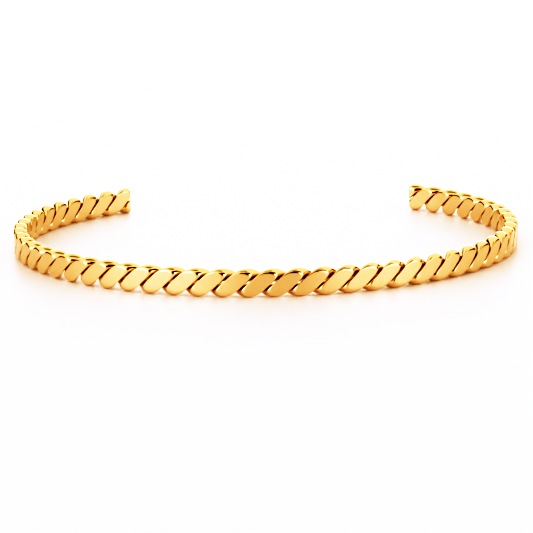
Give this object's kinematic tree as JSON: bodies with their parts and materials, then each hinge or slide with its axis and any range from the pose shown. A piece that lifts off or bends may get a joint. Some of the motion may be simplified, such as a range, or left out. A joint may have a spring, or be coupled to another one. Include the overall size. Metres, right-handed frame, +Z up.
{
  "type": "twisted cuff bangle",
  "caption": "Open cuff bangle of two wires laid into a left-handed twist, pressed flat on its outer and inner faces, with square-cut ends.",
  "frame": {"origin": "under the middle of the bounding box, on the surface that the bangle lies on", "axes": "+X right and across the width, -Y towards the closed front, +Y towards the open gap, +Z up along the wrist"},
  "size_m": [0.0606, 0.0508, 0.0033],
  "materials": {
    "gold": "polished yellow gold"
  },
  "bodies": {
    "root": {"strand_a": "gold", "strand_b": "gold"}
  },
  "joints": []
}
